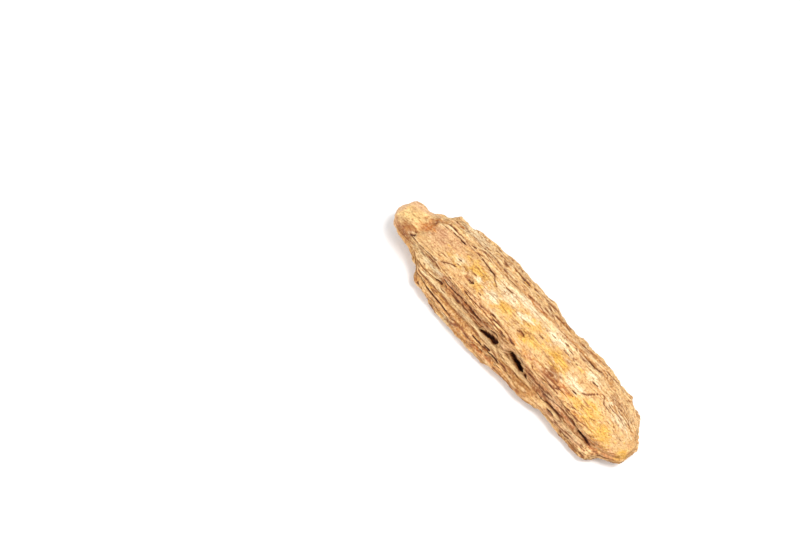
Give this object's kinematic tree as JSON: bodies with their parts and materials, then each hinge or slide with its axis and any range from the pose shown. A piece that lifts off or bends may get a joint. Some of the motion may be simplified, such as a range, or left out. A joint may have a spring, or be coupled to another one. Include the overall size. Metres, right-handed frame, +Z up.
{
  "type": "petrified wood",
  "caption": "Long slab of ochre petrified wood, split along the grain, with a ledge and hollows in one flank and broken ends.",
  "frame": {"origin": "middle of the bounding box on the resting face, so the slab lies on z = 0", "axes": "+X along the grain from the small rounded end to the broad broken end, -Y to the near flank with the ledge, +Z up"},
  "size_m": [0.2014, 0.053, 0.032],
  "materials": {
    "silicified_wood": "dull broken stone with silky fibrous grain"
  },
  "bodies": {
    "root": {"petrified_wood": "silicified_wood"}
  },
  "joints": []
}
